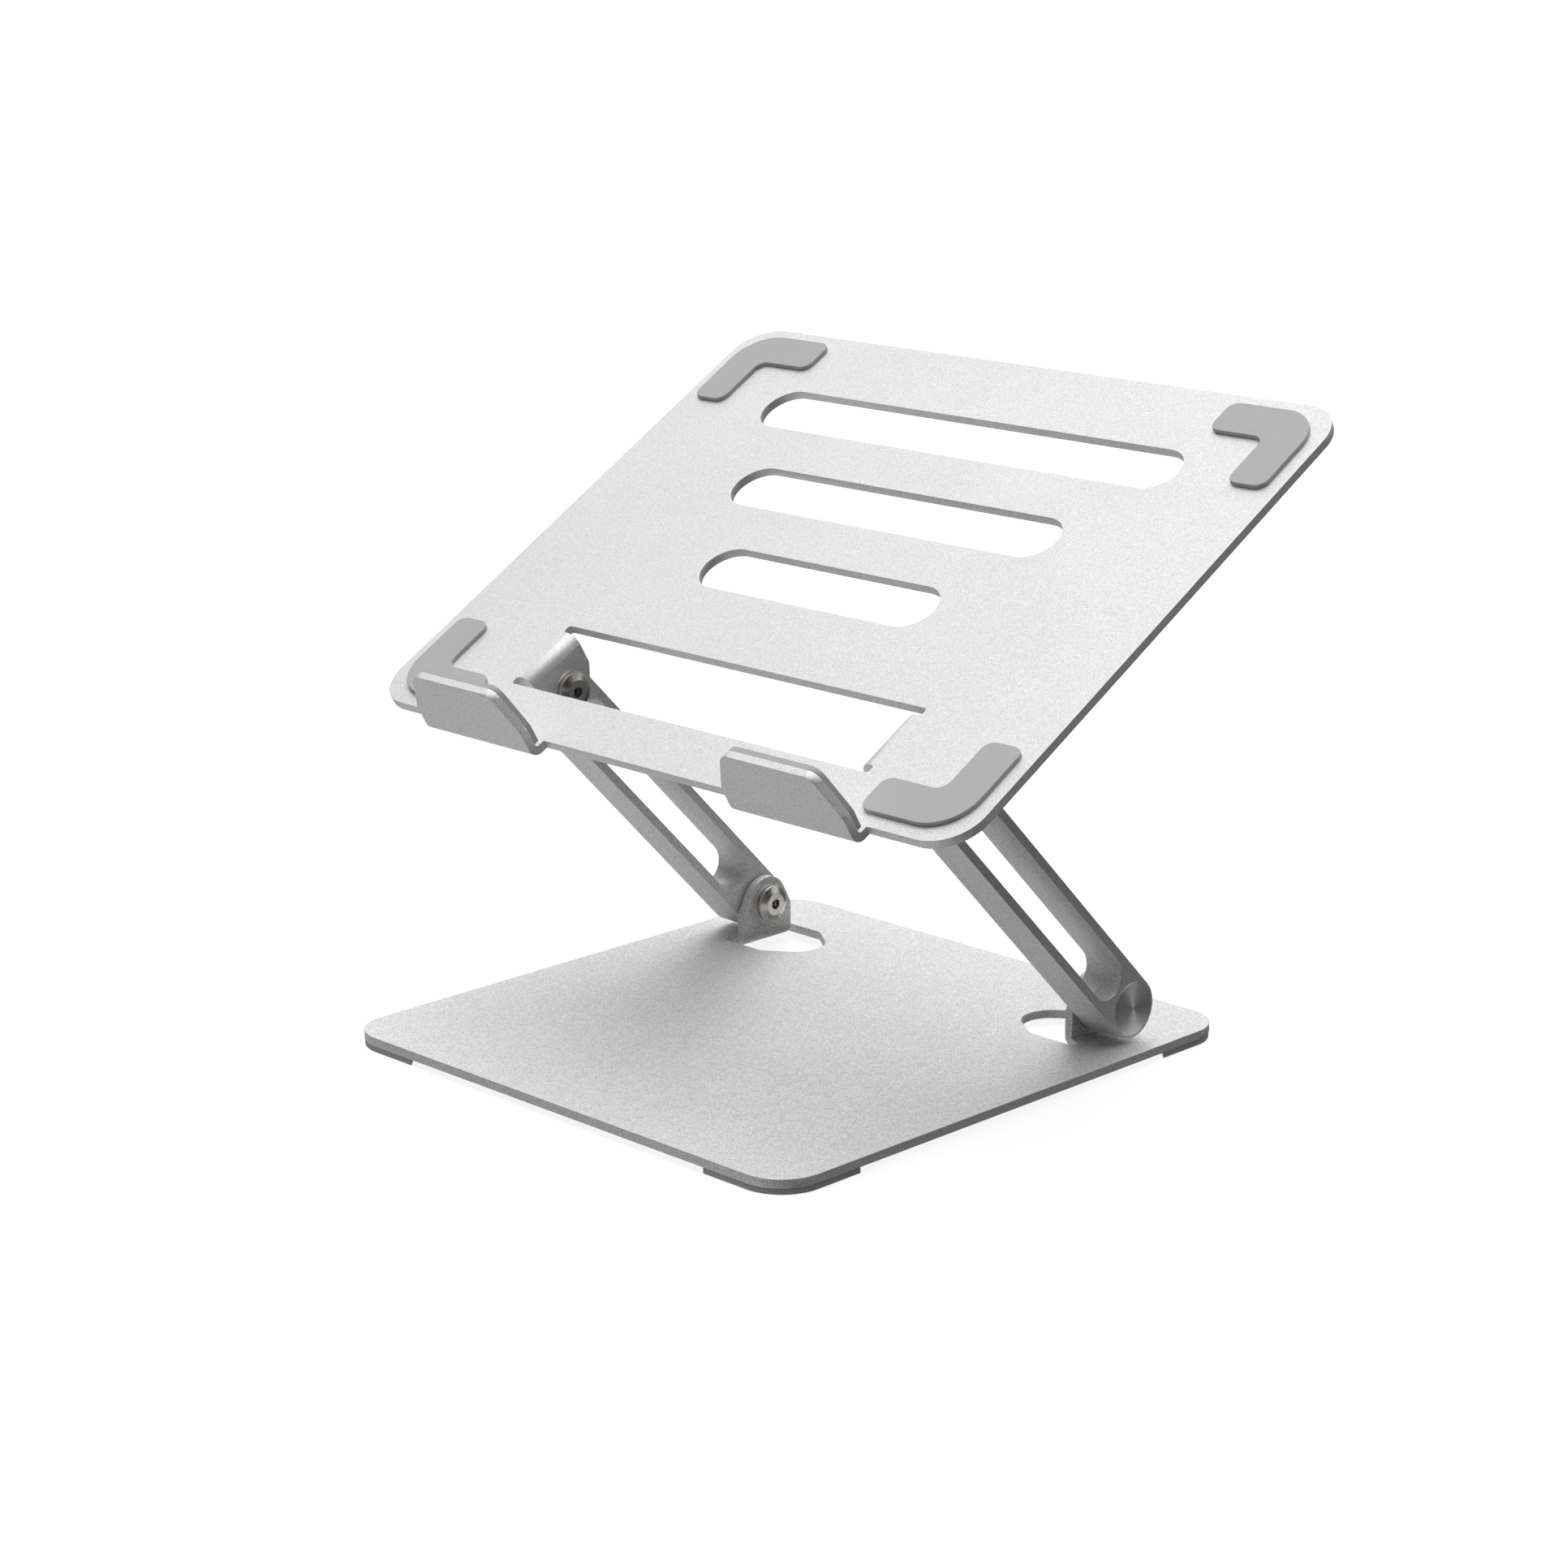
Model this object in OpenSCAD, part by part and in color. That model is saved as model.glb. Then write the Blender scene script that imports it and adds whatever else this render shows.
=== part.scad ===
// Folding laptop stand: a base plate, two slotted arms and a tilting tray.
// Units are millimetres, +Z is up and the tray faces the user on the -Y side.

/* [Plates] */
// thickness of the folded sheet used for base and tray
plate_t = 3; // [2.5:0.5:4]
// inside radius of every sheet bend
bend_in = 1.2; // [0.8:0.1:1.6]

/* [Base] */
// width of the base plate
base_w = 200; // [190:1:230]
// depth of the base plate
base_d = 207.8; // [200:0.2:240]
// corner radius of the base plate
base_corner = 15; // [8:1:24]
// hinge line behind the front edge of the base
hinge_back = 168.2; // [160:0.2:175]
// hinge line above the top face of the base
hinge_up = 11.6; // [11.2:0.1:14]

/* [Feet] */
// height of the rubber feet
foot_h = 2; // [1:0.5:4]
// leg length of the L-shaped feet
foot_leg = 33; // [25:1:45]

/* [Arms] */
// distance between the two pivots of an arm
arm_len = 130.4; // [120:0.2:136]
// angle of the arms above the desk at rest
arm_angle = 45.3; // [35:0.1:60]
// width of an arm across its side face
arm_wide = 20; // [19:0.2:20.6]
// thickness of an arm from inner to outer face
arm_thick = 15; // [14:0.5:18]
// distance from the middle plane to the inner face of an arm
arm_in = 77; // [74:0.5:80]
// width of the slot through an arm
arm_slot_w = 13.8; // [10:0.2:14]
// wall between pivot axis and slot end
arm_slot_end = 11.4; // [11:0.1:20]

/* [Tray] */
// width of the tray
tray_w = 260; // [240:1:290]
// depth of the tray along its slope
tray_d = 208.2; // [200:0.2:240]
// corner radius of the tray
tray_corner = 15; // [12:1:24]
// slope of the tray at rest
tray_tilt = 30; // [20:0.5:35]
// tray pivots behind the front edge of the tray
tray_pivot_back = 34.7; // [33:0.1:40]
// tray pivots below the underside of the tray
tray_pivot_drop = 11.15; // [11.15:0.05:14]

/* [Vents] */
// width of the three long vents
vent_w = 19.6; // [12:0.2:24]
// spacing of the vents
vent_pitch = 39.6; // [30:0.2:42]
// middle of the front vent behind the front edge
vent_first = 89.2; // [80:0.2:95]
// length of the shortest vent
vent_short = 101; // [60:1:120]
// growth in length from one vent to the next
vent_step = 40; // [10:1:50]

/* [Hooks] */
// width of a front hook at its foot
hook_w = 50.4; // [40:0.2:60]
// middle of a hook from the middle plane
hook_x = 70.1; // [60:0.1:80]
// height of a hook above the tray face
hook_h = 22.5; // [15:0.5:26]

/* [Pads] */
// thickness of the corner pads on the tray
pad_t = 1.5; // [1:0.1:3]
// leg length of the corner pads
pad_leg = 36.8; // [28:0.2:42]
// thickness of the pads inside the hooks
hook_pad_t = 1.9; // [1:0.1:2]

/* [Hidden] */
$fn = 96;

// how far cuts run past a face, and joined shapes run into each other
lap = 1;
// radial play of a running fit
fit = 0.05;

// sheet bends
bend_out = bend_in + plate_t;

// bent ears that carry the pivots, shared by base and tray
ear_gap = 0.5;
ear_out = arm_in - ear_gap;
ear_in = ear_out - plate_t;
ear_bend_x = ear_in + bend_out;
ear_w = 23.4;
ear_tip_r = 9.2;
ear_slant = 28.5;
ear_shoulder_r = 3;
relief_past = 1.8;
relief_end_x = ear_bend_x + relief_past;
relief_end_r = 1.1;
relief_flat = 0.2;

// cutouts left in the base where its ears were bent up
cut_front = 15.4;
cut_back = 14;
cut_tip_x = 59.6;
cut_tip_r = 10.7;
cut_slant = 36.4;
cut_shoulder_r = 4;

// window of the tray between its two ears
window_half = 14.8;

// feet and corner pads are L-shaped bands
band_w = 14.4;
foot_inset = 0.2;
foot_root_r = 1;
pad_inset = 5;
pad_outer_r = 14.5;
pad_end_r = 4;
pad_inner_r = 4;

// front hooks
hook_out = 6.3;
hook_slant = 25;
hook_straight = 8;
hook_corner_r = 5;
hook_root_r = 5.5;
hook_root_gap = 0.01;
hook_pad_foot = bend_in;
hook_pad_inset = 0.25;

// pivot hardware, measured along the hinge axis
shoulder_r = 3;
thread_r = 2.5;
thread_len = 11;
washer_r = 6.5;
washer_t = 0.9;
spring_r = 5.6;
spring_t = 1;
spring_split = 0.8;
head_r = 6.45;
head_rim_t = 0.95;
head_cone_t = 1.2;
head_face_r = 4;
hex_flats = 3.5;
hex_deep = 2;
mark_r = 0.55;
mark_at = 5.95;
mark_angle = 57;
mark_deep = 1.2;
friction_r = 8;
barrel_r = 4.5;
flange_r = 6.5;
flange_t = 2;
cap_r = 8.9;
cap_t = 1.6;
arm_out = arm_in + arm_thick;
cap_x = arm_out - cap_t;
flange_x = cap_x - flange_t;
barrel_recess = 0.4;
barrel_x = arm_in + barrel_recess;
washer_x = ear_in - fit;
spring_x = washer_x - washer_t - fit;
head_x = spring_x - spring_t;
rim_x = head_x - head_rim_t;
face_x = rim_x - head_cone_t;

// heights and hinge positions in the frame of the whole stand
base_top = foot_h + plate_t;
hinge_z = base_top + hinge_up;
arm_rise = arm_len * sin(arm_angle);
arm_reach = arm_len * cos(arm_angle);
pivot_below_top = tray_pivot_drop + plate_t;
tray_front_y = hinge_back - arm_reach - tray_pivot_back * cos(tray_tilt) - pivot_below_top * sin(tray_tilt);
tray_back_y = tray_front_y + tray_d * cos(tray_tilt) + plate_t * sin(tray_tilt);
depth_all = max(tray_back_y, base_d) - min(0, tray_front_y);
front_y = -depth_all / 2;
hinge_y = front_y + hinge_back;
tray_pivot_y = hinge_y - arm_reach;
tray_pivot_z = hinge_z + arm_rise;

// ---------- outlines ----------

function unit(v) = v / norm(v);
function turn(a, b) = a.x * b.y - a.y * b.x;

// polygon, points counter-clockwise, with each corner rounded by its own radius
module round_poly(points, radii) {
    n = len(points);
    to_prev = [for (i = [0:n - 1]) unit(points[(i + n - 1) % n] - points[i])];
    to_next = [for (i = [0:n - 1]) unit(points[(i + 1) % n] - points[i])];
    half = [for (i = [0:n - 1]) acos(to_prev[i] * to_next[i]) / 2];
    cut = [for (i = [0:n - 1]) radii[i] / tan(half[i])];
    enter = [for (i = [0:n - 1]) points[i] + to_prev[i] * cut[i]];
    leave = [for (i = [0:n - 1]) points[i] + to_next[i] * cut[i]];
    centre = [for (i = [0:n - 1]) points[i] + unit(to_prev[i] + to_next[i]) * radii[i] / sin(half[i])];
    convex = [for (i = [0:n - 1]) turn(to_next[i], to_prev[i]) > 0];
    chain = [for (i = [0:n - 1]) each (radii[i] > 0 ? [enter[i], leave[i]] : [points[i]])];
    difference() {
        union() {
            polygon(chain);
            for (i = [0:n - 1]) {
                if (radii[i] > 0 && convex[i]) {
                    round_corner(points[i], enter[i], leave[i], centre[i], radii[i]);
                }
            }
        }
        for (i = [0:n - 1]) {
            if (radii[i] > 0 && !convex[i]) {
                round_corner(points[i], enter[i], leave[i], centre[i], radii[i]);
            }
        }
    }
}

module round_corner(tip, enter, leave, centre, r) {
    intersection() {
        translate(centre) circle(r);
        polygon([enter, tip, leave, centre]);
    }
}

module round_rect(w, d, r) {
    round_poly([[-w / 2, 0], [w / 2, 0], [w / 2, d], [-w / 2, d]], [r, r, r, r]);
}

// stadium of length l and width w, centred
module stadium(l, w) {
    square([l - w, w], center = true);
    for (side = [-1, 1]) {
        translate([side * (l - w) / 2, 0]) circle(w / 2);
    }
}

// L-shaped band whose outer corner sits at the origin, legs along +X and +Y
module corner_band(leg, outer_r, inner_r, end_r) {
    round_poly(
        [[0, 0], [leg, 0], [leg, band_w], [band_w, band_w], [band_w, leg], [0, leg]],
        [outer_r, end_r, end_r, inner_r, end_r, end_r]
    );
}

// L-shaped band with both ends cut at 45 degrees
module mitred_band(leg, outer_r, inner_r) {
    cut = leg - band_w;
    round_poly(
        [[0, 0], [leg, 0], [cut, band_w], [band_w, band_w], [band_w, cut], [0, leg]],
        [outer_r, 0, 0, inner_r, 0, 0]
    );
}

// flap with straight flanks, sloping shoulders and a round tip towards +Y; tip circle at the origin
module flap(root, half, tip_r, slant, shoulder_r) {
    apex = tip_r / sin(slant);
    shoulder = apex - half / tan(slant);
    round_poly(
        [[-half, -root], [half, -root], [half, shoulder], [0, apex], [-half, shoulder]],
        [0, 0, shoulder_r, tip_r, shoulder_r]
    );
}

// ---------- placing ----------

module both_sides() {
    children();
    mirror([1, 0, 0]) children();
}

// repeats children on the +X side or mirrored on the -X side
module on_side(side) {
    if (side > 0) {
        children();
    } else {
        mirror([1, 0, 0]) children();
    }
}

// cylinder along +X from x0, length l
module rod_x(x0, l, r) {
    translate([x0, 0, 0]) rotate([0, 90, 0]) cylinder(h = l, r = r);
}

// tray frame: front edge of the top face on Y=0, Z=0 before the tray is tilted into place
module in_tray() {
    translate([0, tray_pivot_y, tray_pivot_z]) {
        rotate([tray_tilt, 0, 0]) {
            translate([0, -tray_pivot_back, pivot_below_top]) children();
        }
    }
}

module at_base_pivot() {
    translate([0, hinge_y, hinge_z]) rotate([-arm_angle, 0, 0]) children();
}

// ---------- sheet metal ----------

// quarter bend with a short lap onto the flat sheet (+X) and onto the flap (+Y)
module bend_profile() {
    translate([0, -bend_out]) square([lap, plate_t]);
    intersection() {
        difference() {
            circle(bend_out);
            circle(bend_in);
        }
        translate([-bend_out, -bend_out]) square(bend_out);
    }
    translate([-bend_out, 0]) square([plate_t, lap]);
}

// ear on the +X side, bent up from a plate whose face is Z=0, with its pivot bore on Y=0
module ear(pivot_h) {
    difference() {
        union() {
            translate([ear_bend_x, ear_w / 2, bend_in]) {
                rotate([90, 0, 0]) linear_extrude(ear_w) bend_profile();
            }
            translate([ear_in, 0, pivot_h]) {
                rotate([90, 0, 90]) {
                    linear_extrude(plate_t) {
                        flap(pivot_h - bend_in, ear_w / 2, ear_tip_r, ear_slant, ear_shoulder_r);
                    }
                }
            }
        }
        translate([0, 0, pivot_h]) rod_x(ear_in - lap, plate_t + 2 * lap, shoulder_r + fit);
    }
}

// narrow relief slit beside an ear, from the cutout to a rounded end
module relief_slit(y0, y1) {
    r = min(relief_end_r, (y1 - y0 - relief_flat) / 2);
    round_poly(
        [[ear_in, y0], [relief_end_x, y0], [relief_end_x, y1], [ear_in, y1]],
        [0, r, r, 0]
    );
}

// opening left in the base behind one ear, pivot line on Y=0
module base_cutout() {
    mid = (cut_back - cut_front) / 2;
    half = (cut_back + cut_front) / 2;
    translate([cut_tip_x, mid]) {
        rotate(90) flap(ear_bend_x - cut_tip_x, half, cut_tip_r, cut_slant, cut_shoulder_r);
    }
    relief_slit(-cut_front, -ear_w / 2);
    relief_slit(ear_w / 2, cut_back);
}

module base_plate() {
    color([0.80, 0.81, 0.82]) {
        translate([0, front_y, foot_h]) {
            linear_extrude(plate_t) {
                difference() {
                    round_rect(base_w, base_d, base_corner);
                    translate([0, hinge_back]) both_sides() base_cutout();
                }
            }
        }
        translate([0, hinge_y, base_top]) both_sides() ear(hinge_up);
    }
}

module foot(side_x, side_y) {
    back = side_y > 0 ? base_d - foot_inset : foot_inset;
    color([0.45, 0.45, 0.46]) {
        translate([side_x * (base_w / 2 - foot_inset), front_y + back, 0]) {
            mirror([side_x > 0 ? 1 : 0, 0, 0]) mirror([0, side_y > 0 ? 1 : 0, 0]) {
                linear_extrude(foot_h) mitred_band(foot_leg, base_corner - foot_inset, foot_root_r);
            }
        }
    }
}

// ---------- arms ----------

module arm(side) {
    color([0.62, 0.63, 0.64]) {
        on_side(side) at_base_pivot() {
            difference() {
                translate([arm_out, 0, 0]) {
                    rotate([90, 0, -90]) linear_extrude(arm_thick) arm_outline();
                }
                for (t = [0, arm_len]) {
                    translate([0, -t, 0]) arm_bores();
                }
            }
        }
    }
}

module arm_outline() {
    slot_len = arm_len - 2 * arm_slot_end;
    translate([arm_len / 2, 0]) {
        difference() {
            stadium(arm_len + arm_wide, arm_wide);
            stadium(slot_len, arm_slot_w);
        }
    }
}

// stepped seat for barrel nut, flange and cap
module arm_bores() {
    rod_x(arm_in - lap, arm_thick, barrel_r);
    rod_x(flange_x, arm_thick, flange_r);
    rod_x(cap_x, arm_thick, cap_r);
}

// ---------- pivot hardware, drawn on the +X side with its axis on X ----------

// places children on one side at the base pivots (up = 0) or the tray pivots (up = 1)
module at_pivot(side, up) {
    on_side(side) {
        translate([0, hinge_y - up * arm_reach, hinge_z + up * arm_rise]) children();
    }
}

module ring_x(x0, l, outer_r, inner_r) {
    difference() {
        rod_x(x0, l, outer_r);
        rod_x(x0 - lap, l + 2 * lap, inner_r);
    }
}

// shoulder screw with a coned head, hex socket and a small mark in its rim
module screw(side, up) {
    color([0.58, 0.57, 0.55]) at_pivot(side, up) {
        difference() {
            union() {
                rod_x(head_x, arm_in - head_x, shoulder_r);
                rod_x(arm_in - lap, thread_len + lap, thread_r);
                rod_x(rim_x, head_rim_t, head_r);
                translate([face_x, 0, 0]) {
                    rotate([0, 90, 0]) cylinder(h = head_cone_t, r1 = head_face_r, r2 = head_r);
                }
            }
            translate([face_x - lap, 0, 0]) {
                rotate([0, 90, 0]) cylinder(h = hex_deep + lap, r = hex_flats / sqrt(3), $fn = 6);
            }
            rotate([-mark_angle, 0, 0]) translate([0, mark_at, 0]) rod_x(face_x, mark_deep, mark_r);
        }
    }
}

module washer(side, up) {
    color([0.66, 0.66, 0.65]) at_pivot(side, up) {
        ring_x(washer_x - washer_t, washer_t, washer_r, shoulder_r + fit);
    }
}

// split lock washer
module spring(side, up) {
    color([0.30, 0.30, 0.30]) at_pivot(side, up) {
        difference() {
            ring_x(head_x, spring_t, spring_r, shoulder_r + fit);
            translate([head_x - lap, -spring_split / 2, 0]) {
                cube([spring_t + 2 * lap, spring_split, spring_r + lap]);
            }
        }
    }
}

// thin disc that brakes the hinge between ear and arm
module friction(side, up) {
    color([0.20, 0.20, 0.21]) at_pivot(side, up) {
        ring_x(ear_out + fit, ear_gap - 2 * fit, friction_r, shoulder_r + fit);
    }
}

// flanged barrel nut pressed into the arm
module nut(side, up) {
    color([0.55, 0.54, 0.52]) at_pivot(side, up) {
        difference() {
            union() {
                rod_x(barrel_x, flange_x - barrel_x, barrel_r);
                rod_x(flange_x, flange_t, flange_r);
            }
            rod_x(barrel_x - lap, thread_len + 2 * lap, thread_r);
        }
    }
}

module cap(side, up) {
    color([0.74, 0.75, 0.76]) at_pivot(side, up) rod_x(cap_x, cap_t, cap_r);
}

// ---------- tray ----------

module tray_openings() {
    for (i = [0:2]) {
        translate([0, vent_first + i * vent_pitch]) stadium(vent_short + i * vent_step, vent_w);
    }
    translate([0, tray_pivot_back]) {
        square([2 * ear_bend_x, 2 * window_half], center = true);
        both_sides() {
            relief_slit(-window_half, -ear_w / 2);
            relief_slit(ear_w / 2, window_half);
        }
    }
}

module tray_plate() {
    color([0.84, 0.85, 0.86]) in_tray() {
        translate([0, 0, -plate_t]) {
            linear_extrude(plate_t) {
                difference() {
                    round_rect(tray_w, tray_d, tray_corner);
                    tray_openings();
                }
            }
        }
        translate([0, tray_pivot_back, -plate_t]) {
            mirror([0, 0, 1]) both_sides() ear(tray_pivot_drop);
        }
        both_sides() translate([hook_x, 0, 0]) hook();
    }
}

// strip that leaves the front edge, bends up and ends in a tapered upright
module hook() {
    foot_y = -hook_out + bend_out;
    wide = hook_w + 2 * hook_root_r;
    intersection() {
        translate([-wide / 2, foot_y, bend_out - plate_t]) {
            rotate([90, 0, 90]) {
                linear_extrude(wide) {
                    bend_profile();
                    translate([0, -bend_out]) square([lap - foot_y, plate_t]);
                    translate([-bend_out, 0]) square([plate_t, hook_h]);
                }
            }
        }
        translate([0, 0, -2 * plate_t]) linear_extrude(2 * hook_h) hook_plan();
        translate([0, lap, 0]) rotate([90, 0, 0]) linear_extrude(2 * hook_out) hook_front(-2 * plate_t, 0);
    }
}

// seen from above: strip with filleted roots
module hook_plan() {
    half = hook_w / 2;
    root = half + hook_root_r;
    root_r = hook_root_r - hook_root_gap;
    round_poly(
        [
            [-half, -2 * hook_out], [half, -2 * hook_out], [half, 0], [root, 0],
            [root, lap], [-root, lap], [-root, 0], [-half, 0]
        ],
        [0, 0, root_r, 0, 0, 0, 0, root_r]
    );
}

// seen from the front: straight foot, slanted flanks and round top corners
module hook_front(bottom, inset) {
    half = hook_w / 2 - inset;
    top = hook_h;
    top_half = half - (top - hook_straight) * tan(hook_slant);
    round_poly(
        [
            [-half, bottom], [half, bottom], [half, hook_straight],
            [top_half, top], [-top_half, top], [-half, hook_straight]
        ],
        [0, 0, hook_corner_r, hook_corner_r, hook_corner_r, hook_corner_r]
    );
}

module hook_pad(side) {
    color([0.60, 0.60, 0.61]) in_tray() on_side(side) {
        translate([hook_x, -hook_out + plate_t + hook_pad_t, 0]) {
            rotate([90, 0, 0]) linear_extrude(hook_pad_t) hook_front(hook_pad_foot, hook_pad_inset);
        }
    }
}

module pad(side_x, side_y) {
    back = side_y > 0 ? tray_d - pad_inset : pad_inset;
    color([0.60, 0.60, 0.61]) in_tray() {
        translate([side_x * (tray_w / 2 - pad_inset), back, 0]) {
            mirror([side_x > 0 ? 1 : 0, 0, 0]) mirror([0, side_y > 0 ? 1 : 0, 0]) {
                linear_extrude(pad_t) corner_band(pad_leg, pad_outer_r, pad_inner_r, pad_end_r);
            }
        }
    }
}

base_plate();
foot(-1, -1);  // foot_front_left
foot(1, -1);  // foot_front_right
foot(-1, 1);  // foot_back_left
foot(1, 1);  // foot_back_right
arm(-1);  // arm_left
arm(1);  // arm_right
cap(-1, 0);  // cap_base_left
cap(1, 0);  // cap_base_right
cap(-1, 1);  // cap_tray_left
cap(1, 1);  // cap_tray_right
nut(-1, 0);  // nut_base_left
nut(1, 0);  // nut_base_right
nut(-1, 1);  // nut_tray_left
nut(1, 1);  // nut_tray_right
screw(-1, 0);  // screw_base_left
screw(1, 0);  // screw_base_right
screw(-1, 1);  // screw_tray_left
screw(1, 1);  // screw_tray_right
washer(-1, 0);  // washer_base_left
washer(1, 0);  // washer_base_right
washer(-1, 1);  // washer_tray_left
washer(1, 1);  // washer_tray_right
spring(-1, 0);  // spring_base_left
spring(1, 0);  // spring_base_right
spring(-1, 1);  // spring_tray_left
spring(1, 1);  // spring_tray_right
friction(-1, 0);  // friction_base_left
friction(1, 0);  // friction_base_right
friction(-1, 1);  // friction_tray_left
friction(1, 1);  // friction_tray_right
tray_plate();
pad(-1, -1);  // pad_front_left
pad(1, -1);  // pad_front_right
pad(-1, 1);  // pad_back_left
pad(1, 1);  // pad_back_right
hook_pad(-1);  // hook_pad_left
hook_pad(1);  // hook_pad_right
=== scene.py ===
"""The looks of a folding aluminium laptop stand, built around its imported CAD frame."""

import math

import bpy
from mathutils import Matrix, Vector


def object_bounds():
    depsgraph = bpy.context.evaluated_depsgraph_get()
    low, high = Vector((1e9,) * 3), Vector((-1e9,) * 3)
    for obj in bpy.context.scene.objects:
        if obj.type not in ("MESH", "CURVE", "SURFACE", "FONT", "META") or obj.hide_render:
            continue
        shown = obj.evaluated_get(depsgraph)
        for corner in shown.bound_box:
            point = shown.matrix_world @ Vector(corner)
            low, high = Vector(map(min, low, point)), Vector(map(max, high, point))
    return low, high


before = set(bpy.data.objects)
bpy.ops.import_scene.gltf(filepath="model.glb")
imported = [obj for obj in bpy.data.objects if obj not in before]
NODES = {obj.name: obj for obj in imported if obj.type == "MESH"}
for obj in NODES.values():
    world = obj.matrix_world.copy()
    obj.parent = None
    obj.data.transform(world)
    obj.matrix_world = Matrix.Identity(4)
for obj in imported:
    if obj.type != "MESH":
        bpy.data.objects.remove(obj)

CAD_LOW, CAD_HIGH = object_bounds()

# ---------- view ----------

CAMERA_AZIMUTH = 44.645
CAMERA_ELEVATION = 15.28
CAMERA_DISTANCE = 1.1622
CAMERA_LENS = 83.31
# aim point, from the middle of the CAD box
AIM_OFFSET = Vector((0.0, -0.0088, -0.0176))


def make_camera():
    data = bpy.data.cameras.new("camera")
    data.lens = CAMERA_LENS
    data.clip_start = 0.05
    data.clip_end = 100.0
    camera = bpy.data.objects.new("camera", data)
    bpy.context.scene.collection.objects.link(camera)
    azimuth, elevation = math.radians(CAMERA_AZIMUTH), math.radians(CAMERA_ELEVATION)
    back = Vector((
        math.sin(azimuth) * math.cos(elevation),
        -math.cos(azimuth) * math.cos(elevation),
        math.sin(elevation),
    ))
    camera.location = (CAD_LOW + CAD_HIGH) / 2 + AIM_OFFSET + back * CAMERA_DISTANCE
    camera.rotation_mode = "QUATERNION"
    camera.rotation_quaternion = (-back).to_track_quat("-Z", "Y")
    bpy.context.scene.camera = camera


# ---------- shader helpers ----------


def new_tree(owner):
    owner.use_nodes = True
    tree = owner.node_tree
    tree.nodes.clear()
    return tree


def add(tree, kind, **settings):
    node = tree.nodes.new(kind)
    for name, value in settings.items():
        setattr(node, name, value)
    return node


def feed(tree, socket, value):
    if isinstance(value, bpy.types.NodeSocket):
        tree.links.new(value, socket)
    else:
        socket.default_value = value


def calc(tree, operation, a, b=0.0):
    node = add(tree, "ShaderNodeMath", operation=operation)
    feed(tree, node.inputs[0], a)
    feed(tree, node.inputs[1], b)
    return node.outputs[0]


def remap(tree, value, low, high, new_low, new_high, smooth=False):
    node = add(tree, "ShaderNodeMapRange")
    node.interpolation_type = "SMOOTHSTEP" if smooth else "LINEAR"
    feed(tree, node.inputs["Value"], value)
    node.inputs["From Min"].default_value = low
    node.inputs["From Max"].default_value = high
    node.inputs["To Min"].default_value = new_low
    node.inputs["To Max"].default_value = new_high
    return node.outputs["Result"]


def object_place(tree):
    return add(tree, "ShaderNodeTexCoord").outputs["Object"]


def noise(tree, place, scale, detail=2.0, roughness=0.5):
    texture = add(tree, "ShaderNodeTexNoise")
    feed(tree, texture.inputs["Vector"], place)
    texture.inputs["Scale"].default_value = scale
    texture.inputs["Detail"].default_value = detail
    texture.inputs["Roughness"].default_value = roughness
    return texture.outputs["Fac"]


def shade_by(tree, color, factor):
    """color times a grey factor"""
    grey = add(tree, "ShaderNodeCombineColor")
    for socket, part in zip(grey.inputs, color):
        feed(tree, socket, calc(tree, "MULTIPLY", factor, part))
    return grey.outputs["Color"]


def bump(tree, height, distance, strength):
    node = add(tree, "ShaderNodeBump")
    node.inputs["Distance"].default_value = distance
    node.inputs["Strength"].default_value = strength
    feed(tree, node.inputs["Height"], height)
    return node.outputs["Normal"]


def new_material(name):
    material = bpy.data.materials.new(name)
    tree = new_tree(material)
    shader = add(tree, "ShaderNodeBsdfPrincipled")
    output = add(tree, "ShaderNodeOutputMaterial")
    tree.links.new(shader.outputs[0], output.inputs[0])
    return material, tree, shader


# ---------- studio ----------

# soft panels of light round the object: direction, half angle in degrees where the glow ends, strength
PANELS = {
    "overhead": ((0.00, 0.00, 1.00), 42, 2.84),
    "high_back": ((0.00, 0.64, 0.77), 42, 0.71),
    "high_back_left": ((-0.45, 0.45, 0.77), 42, 1.72),
    "high_left": ((-0.64, 0.00, 0.77), 42, 0.18),
    "high_front": ((0.00, -0.64, 0.77), 42, 0.30),
    "low_back_left": ((-0.37, 0.89, 0.26), 42, 0.33),
    "low_left_back": ((-0.89, 0.37, 0.26), 42, 0.27),
    "under_back_right": ((0.66, 0.66, -0.34), 42, 0.08),
    "under_left": ((-0.94, 0.00, -0.34), 42, 0.46),
    "under_front": ((0.00, -0.94, -0.34), 42, 0.42),
    "below_back_right": ((0.35, 0.35, -0.87), 42, 0.15),
    "below_back_left": ((-0.35, 0.35, -0.87), 42, 0.48),
    "below_front_left": ((-0.35, -0.35, -0.87), 42, 0.84),
    "below_front_right": ((0.35, -0.35, -0.87), 42, 0.42),
    "under_front_left": ((-0.66, -0.66, -0.34), 42, 0.25),
    "low_back_right": ((0.66, 0.68, 0.32), 24, 0.90),
}
# part of a panel's reach over which its glow is full
PANEL_CORE = 0.12


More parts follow.
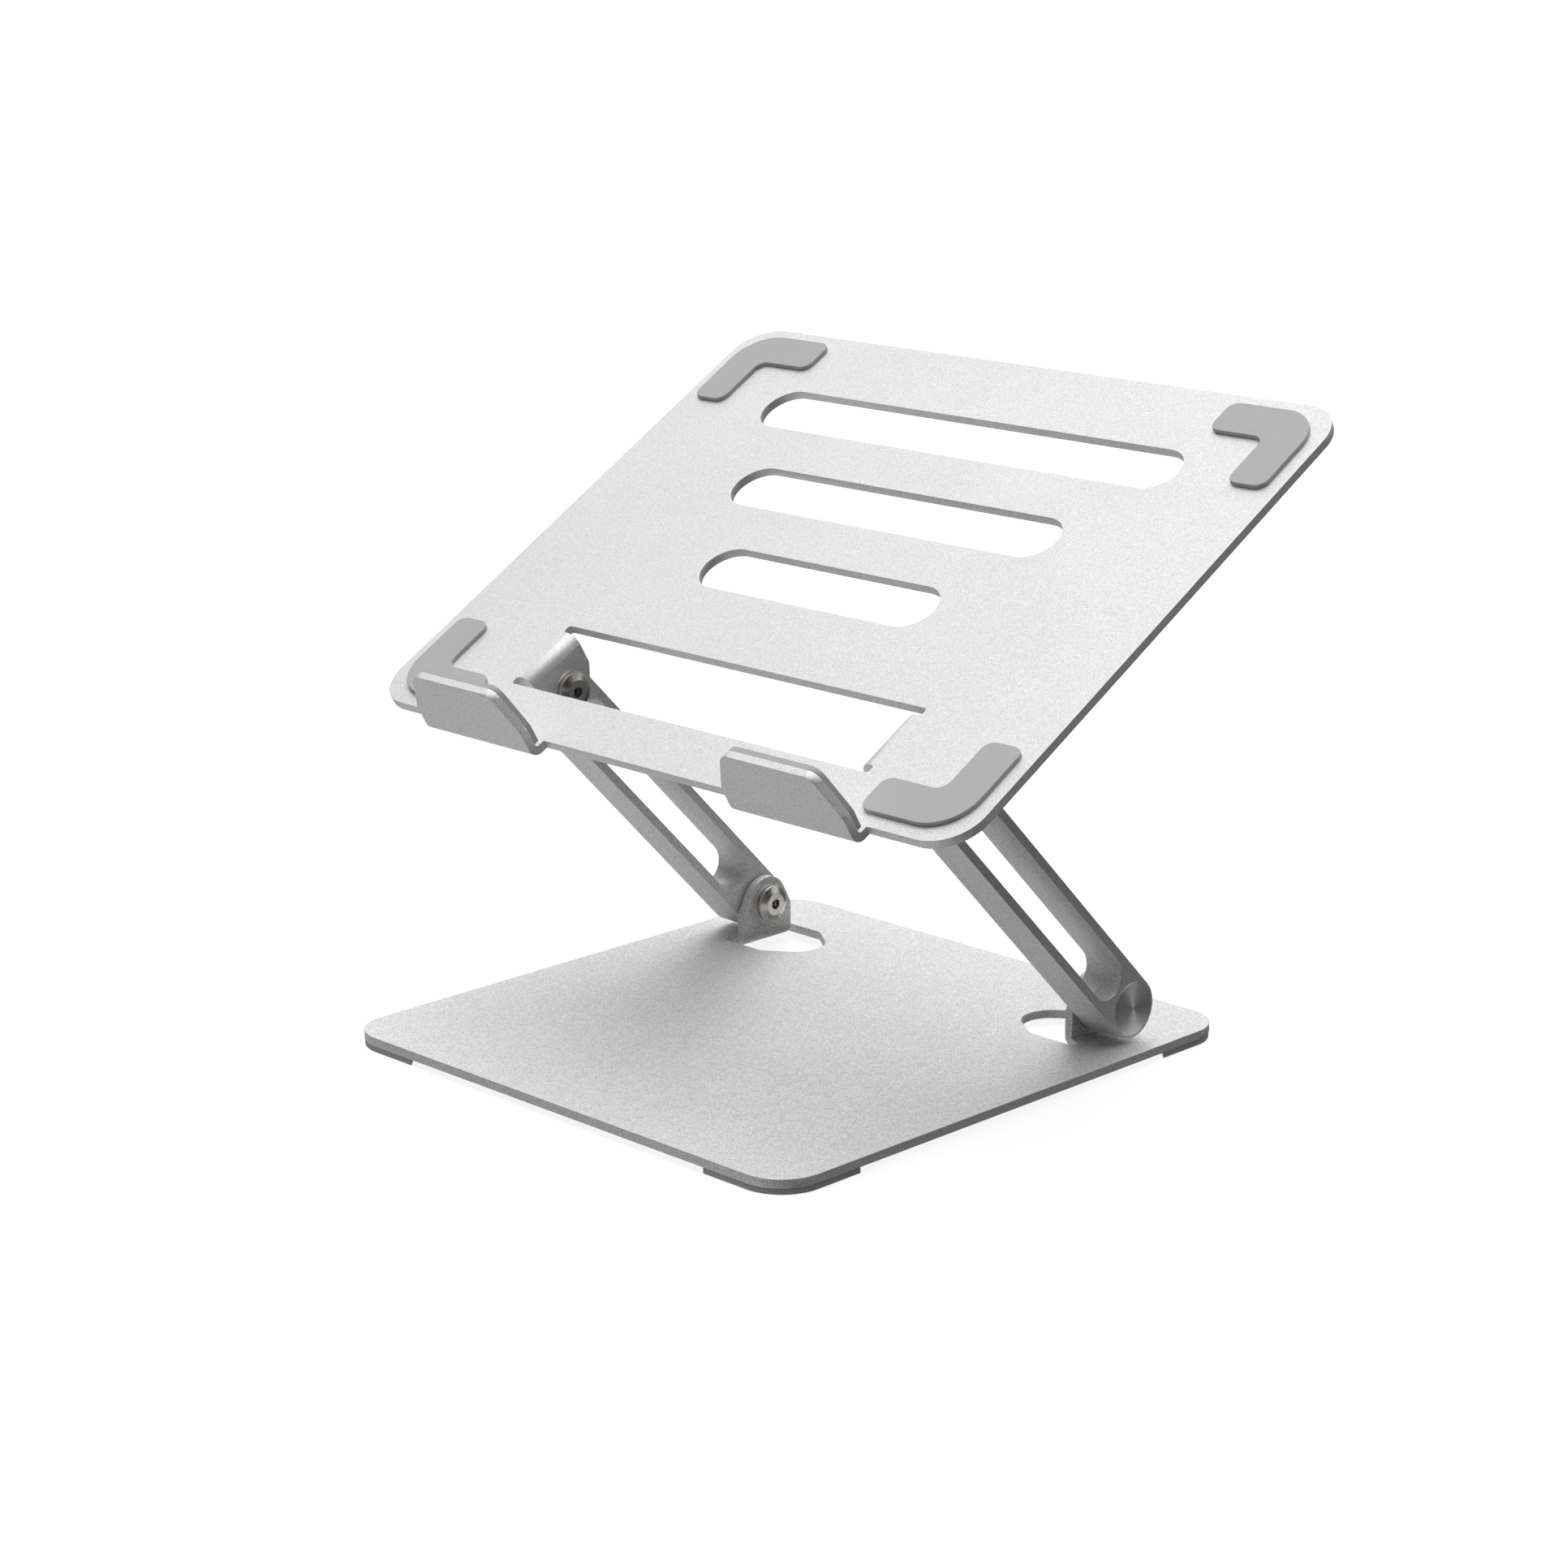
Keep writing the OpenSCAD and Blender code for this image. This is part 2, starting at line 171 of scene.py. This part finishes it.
def make_world():
    world = bpy.data.worlds.new("studio")
    bpy.context.scene.world = world
    tree = new_tree(world)
    direction = add(tree, "ShaderNodeTexCoord").outputs["Generated"]
    total = 0.0
    for axis, reach, strength in PANELS.values():
        full, edge = math.cos(math.radians(reach * PANEL_CORE)), math.cos(math.radians(reach))
        facing = add(tree, "ShaderNodeVectorMath", operation="DOT_PRODUCT")
        feed(tree, facing.inputs[0], direction)
        feed(tree, facing.inputs[1], Vector(axis).normalized())
        glow = remap(tree, facing.outputs["Value"], edge, full, 0.0, strength, smooth=True)
        total = calc(tree, "ADD", glow, total)
    sky = add(tree, "ShaderNodeBackground")
    feed(tree, sky.inputs["Strength"], total)
    output = add(tree, "ShaderNodeOutputWorld")
    tree.links.new(sky.outputs[0], output.inputs[0])


# metres from the middle of the floor to its edge
FLOOR_HALF = 40.0
FLOOR_GLOW = 0.80
FLOOR_TONE = 0.35


def make_floor():
    """pale floor that glows by itself, and that the object neither mirrors nor is shaded by"""
    mesh = bpy.data.meshes.new("floor")
    corners = [(-1, -1), (1, -1), (1, 1), (-1, 1)]
    mesh.from_pydata([(x * FLOOR_HALF, y * FLOOR_HALF, 0.0) for x, y in corners], [], [(0, 1, 2, 3)])
    floor = bpy.data.objects.new("floor", mesh)
    bpy.context.scene.collection.objects.link(floor)
    material = bpy.data.materials.new("pale_floor")
    tree = new_tree(material)
    diffuse = add(tree, "ShaderNodeBsdfDiffuse")
    diffuse.inputs["Color"].default_value = (FLOOR_TONE, FLOOR_TONE, FLOOR_TONE, 1)
    glow = add(tree, "ShaderNodeEmission")
    glow.inputs["Strength"].default_value = FLOOR_GLOW
    both = add(tree, "ShaderNodeAddShader")
    tree.links.new(diffuse.outputs[0], both.inputs[0])
    tree.links.new(glow.outputs[0], both.inputs[1])
    output = add(tree, "ShaderNodeOutputMaterial")
    tree.links.new(both.outputs[0], output.inputs[0])
    mesh.materials.append(material)
    floor.visible_diffuse = False
    floor.visible_glossy = False
    floor.visible_shadow = False


# ---------- materials ----------


def blasted_aluminium(name, tone, roughness, grain_depth, metallic):
    """fine bead-blasted and anodised skin: bright grit on an even satin"""
    material, tree, shader = new_material(name)
    place = object_place(tree)
    grit = noise(tree, place, 3600, 1.0, 0.6)
    coarse = noise(tree, place, 1500, 1.0)
    cloud = noise(tree, place, 22, 2.0)
    grain = calc(tree, "ADD", calc(tree, "MULTIPLY", grit, 0.72), calc(tree, "MULTIPLY", coarse, 0.28))
    speckle = remap(tree, grain, 0.36, 0.64, 1.0 - grain_depth, 1.0 + grain_depth)
    mottle = remap(tree, cloud, 0.3, 0.7, 0.985, 1.015)
    feed(tree, shader.inputs["Base Color"], shade_by(tree, tone, calc(tree, "MULTIPLY", speckle, mottle)))
    shader.inputs["Metallic"].default_value = metallic
    feed(tree, shader.inputs["Roughness"], remap(tree, grain, 0.36, 0.64, roughness + 0.04, roughness - 0.04))
    feed(tree, shader.inputs["Normal"], bump(tree, grain, 0.00006, 0.5))
    return material


def worn_edge(name, tone):
    """edges rubbed smoother and brighter, with a few duller stretches"""
    material, tree, shader = new_material(name)
    place = object_place(tree)
    rub = noise(tree, place, 160, 3.0)
    fine = noise(tree, place, 2300, 2.0)
    stretches = remap(tree, rub, 0.35, 0.65, 0.90, 1.04)
    bright = calc(tree, "MULTIPLY", stretches, remap(tree, fine, 0.3, 0.7, 0.96, 1.04))
    feed(tree, shader.inputs["Base Color"], shade_by(tree, tone, bright))
    shader.inputs["Metallic"].default_value = 0.5
    feed(tree, shader.inputs["Roughness"], remap(tree, rub, 0.35, 0.65, 0.46, 0.36))
    feed(tree, shader.inputs["Normal"], bump(tree, fine, 0.00002, 0.3))
    return material


# quarter turn that stretches highlights across the grooves
ACROSS_GROOVES = 0.25
# flat-to-middle distance of the hex socket, as a part of the head's diameter; inside it the face gets painted
# shade
SHADED_SOCKET = 1.75 / 12.9


def axis_distance(tree):
    """distance from a round part's own X axis, 0.5 at its rim"""
    place = add(tree, "ShaderNodeTexCoord").outputs["Generated"]
    parts = add(tree, "ShaderNodeSeparateXYZ")
    feed(tree, parts.inputs[0], place)
    across = calc(tree, "SUBTRACT", parts.outputs[1], 0.5)
    up = calc(tree, "SUBTRACT", parts.outputs[2], 0.5)
    squares = calc(tree, "ADD", calc(tree, "MULTIPLY", across, across), calc(tree, "MULTIPLY", up, up))
    return calc(tree, "SQRT", squares)


def turned_metal(name, tone, metallic, roughness, anisotropy, rings, ring_depth, socket=0.0):
    """lathe-turned face: fine concentric grooves round the X axis, and painted shade darkening the floor of
    the socket
    """
    material, tree, shader = new_material(name)
    place = object_place(tree)
    radius = axis_distance(tree)
    groove = add(tree, "ShaderNodeTexNoise", noise_dimensions="1D")
    feed(tree, groove.inputs["W"], radius)
    groove.inputs["Scale"].default_value = rings
    groove.inputs["Detail"].default_value = 3.0
    stain = noise(tree, place, 300, 2.0)
    shade = calc(
        tree, "MULTIPLY",
        remap(tree, groove.outputs["Fac"], 0.3, 0.7, 0.92, 1.06), remap(tree, stain, 0.3, 0.7, 0.97, 1.03),
    )
    # painted shade: inside the hex socket the colour falls to 0.12 of the tone
    if socket:
        shade = calc(tree, "MULTIPLY", shade, remap(tree, radius, socket - 0.006, socket, 0.12, 1.0))
    feed(tree, shader.inputs["Base Color"], shade_by(tree, tone, shade))
    shader.inputs["Metallic"].default_value = metallic
    polish = remap(tree, groove.outputs["Fac"], 0.3, 0.7, roughness + 0.04, roughness - 0.04)
    feed(tree, shader.inputs["Roughness"], polish)
    shader.inputs["Anisotropic"].default_value = anisotropy
    shader.inputs["Anisotropic Rotation"].default_value = ACROSS_GROOVES
    tangent = add(tree, "ShaderNodeTangent", direction_type="RADIAL", axis="X")
    feed(tree, shader.inputs["Tangent"], tangent.outputs[0])
    feed(tree, shader.inputs["Normal"], bump(tree, groove.outputs["Fac"], ring_depth, 0.4))
    return material


def plain_steel():
    material, tree, shader = new_material("plain_steel")
    place = object_place(tree)
    scale = noise(tree, place, 700, 3.0)
    shade = remap(tree, scale, 0.3, 0.7, 0.85, 1.1)
    feed(tree, shader.inputs["Base Color"], shade_by(tree, (0.50, 0.49, 0.47), shade))
    shader.inputs["Metallic"].default_value = 1.0
    feed(tree, shader.inputs["Roughness"], remap(tree, scale, 0.3, 0.7, 0.42, 0.30))
    feed(tree, shader.inputs["Normal"], bump(tree, scale, 0.00003, 0.3))
    return material


def soft_rubber(name, tone, roughness, sheen):
    """moulded silicone or rubber: matte, with a faint moulded skin and a little dust"""
    material, tree, shader = new_material(name)
    place = object_place(tree)
    skin = noise(tree, place, 3200, 1.0)
    dust = noise(tree, place, 45, 4.0)
    dusting = remap(tree, dust, 0.3, 0.7, 0.98, 1.03)
    shade = calc(tree, "MULTIPLY", remap(tree, skin, 0.3, 0.7, 0.975, 1.025), dusting)
    feed(tree, shader.inputs["Base Color"], shade_by(tree, tone, shade))
    feed(tree, shader.inputs["Roughness"], remap(tree, dust, 0.3, 0.7, roughness - 0.04, roughness + 0.05))
    shader.inputs["Specular IOR Level"].default_value = 0.35
    shader.inputs["Sheen Weight"].default_value = sheen
    shader.inputs["Sheen Roughness"].default_value = 0.4
    feed(tree, shader.inputs["Normal"], bump(tree, skin, 0.00002, 0.25))
    return material


# ---------- CAD nodes ----------


# corners closer than this are one corner, in metres
WELD_DISTANCE = 0.000002
# in degrees: faces that meet at less are one flat face, and edges sharper than the second are rounded
FLAT_ANGLE = 0.5
HARD_ANGLE = 35


def soften(node, width, segments, edge_slot):
    """dissolve the triangles into flat faces and round the hard edges"""
    weld = node.modifiers.new("weld", "WELD")
    weld.merge_threshold = WELD_DISTANCE
    flat = node.modifiers.new("flat", "DECIMATE")
    flat.decimate_type = "DISSOLVE"
    flat.angle_limit = math.radians(FLAT_ANGLE)
    round_over = node.modifiers.new("round", "BEVEL")
    round_over.limit_method = "ANGLE"
    round_over.angle_limit = math.radians(HARD_ANGLE)
    round_over.width = width
    round_over.segments = segments
    round_over.harden_normals = True
    round_over.use_clamp_overlap = True
    if edge_slot:
        round_over.material = 1


def dress(prefixes, material, edge_material, width, segments=2):
    """give every CAD node with such a name a material and rounded edges, rubbed ones if asked"""
    for name, node in NODES.items():
        if name.startswith(prefixes):
            node.data.materials.clear()
            node.data.materials.append(material)
            if edge_material:
                node.data.materials.append(edge_material)
            soften(node, width, segments, bool(edge_material))


SHEET_TONE = (0.80, 0.80, 0.80)
BAR_TONE = (0.76, 0.76, 0.76)
CAP_TONE = (1.0, 1.0, 1.0)
SCREW_TONE = (0.80, 0.775, 0.745)
WASHER_TONE = (0.86, 0.84, 0.81)
FOOT_TONE = (0.48, 0.48, 0.48)
PAD_TONE = (0.52, 0.52, 0.52)
NYLON_TONE = (0.05, 0.05, 0.052)

# roughness and metallic share of the blasted skin
SKIN_ROUGHNESS = 0.52
SKIN_METALLIC = 0.35

# radius of the rounded edges, in metres
SHEET_EDGE = 0.00022
BAR_EDGE = 0.00030
TURNED_EDGE = 0.00012
FOOT_EDGE = 0.00025
PAD_EDGE = 0.00030
DISC_EDGE = 0.00008


def dress_aluminium():
    tray_skin = blasted_aluminium("blasted_tray", SHEET_TONE, SKIN_ROUGHNESS, 0.18, SKIN_METALLIC)
    base_skin = blasted_aluminium("blasted_base", SHEET_TONE, SKIN_ROUGHNESS, 0.42, SKIN_METALLIC)
    bar_skin = blasted_aluminium("blasted_bar", BAR_TONE, SKIN_ROUGHNESS, 0.32, SKIN_METALLIC)
    edge = worn_edge("rubbed_edge", SHEET_TONE)
    dress(("tray_plate",), tray_skin, edge, SHEET_EDGE)
    dress(("base_plate",), base_skin, edge, SHEET_EDGE)
    dress(("arm_",), bar_skin, edge, BAR_EDGE)


def dress_hardware():
    cap = turned_metal("turned_cap", CAP_TONE, 0.90, 0.36, 0.85, 60, 0.00003)
    screw = turned_metal("satin_nickel", SCREW_TONE, 1.0, 0.30, 0.1, 30, 0.00001, SHADED_SOCKET)
    washer = turned_metal("turned_washer", WASHER_TONE, 1.0, 0.28, 0.2, 30, 0.00001)
    dress(("cap_",), cap, None, TURNED_EDGE)
    dress(("screw_",), screw, None, TURNED_EDGE)
    dress(("washer_",), washer, None, TURNED_EDGE)
    dress(("nut_", "spring_"), plain_steel(), None, TURNED_EDGE)


def dress_soft_parts():
    dress(("foot_",), soft_rubber("foot_rubber", FOOT_TONE, 0.62, 0.10), None, FOOT_EDGE)
    dress(("pad_", "hook_pad"), soft_rubber("pad_silicone", PAD_TONE, 0.50, 0.08), None, PAD_EDGE, 3)
    dress(("friction_",), soft_rubber("nylon", NYLON_TONE, 0.45, 0.0), None, DISC_EDGE)


make_camera()
make_world()
make_floor()
dress_aluminium()
dress_hardware()
dress_soft_parts()

scene = bpy.context.scene
scene.view_settings.view_transform = "Standard"
scene.view_settings.look = "None"
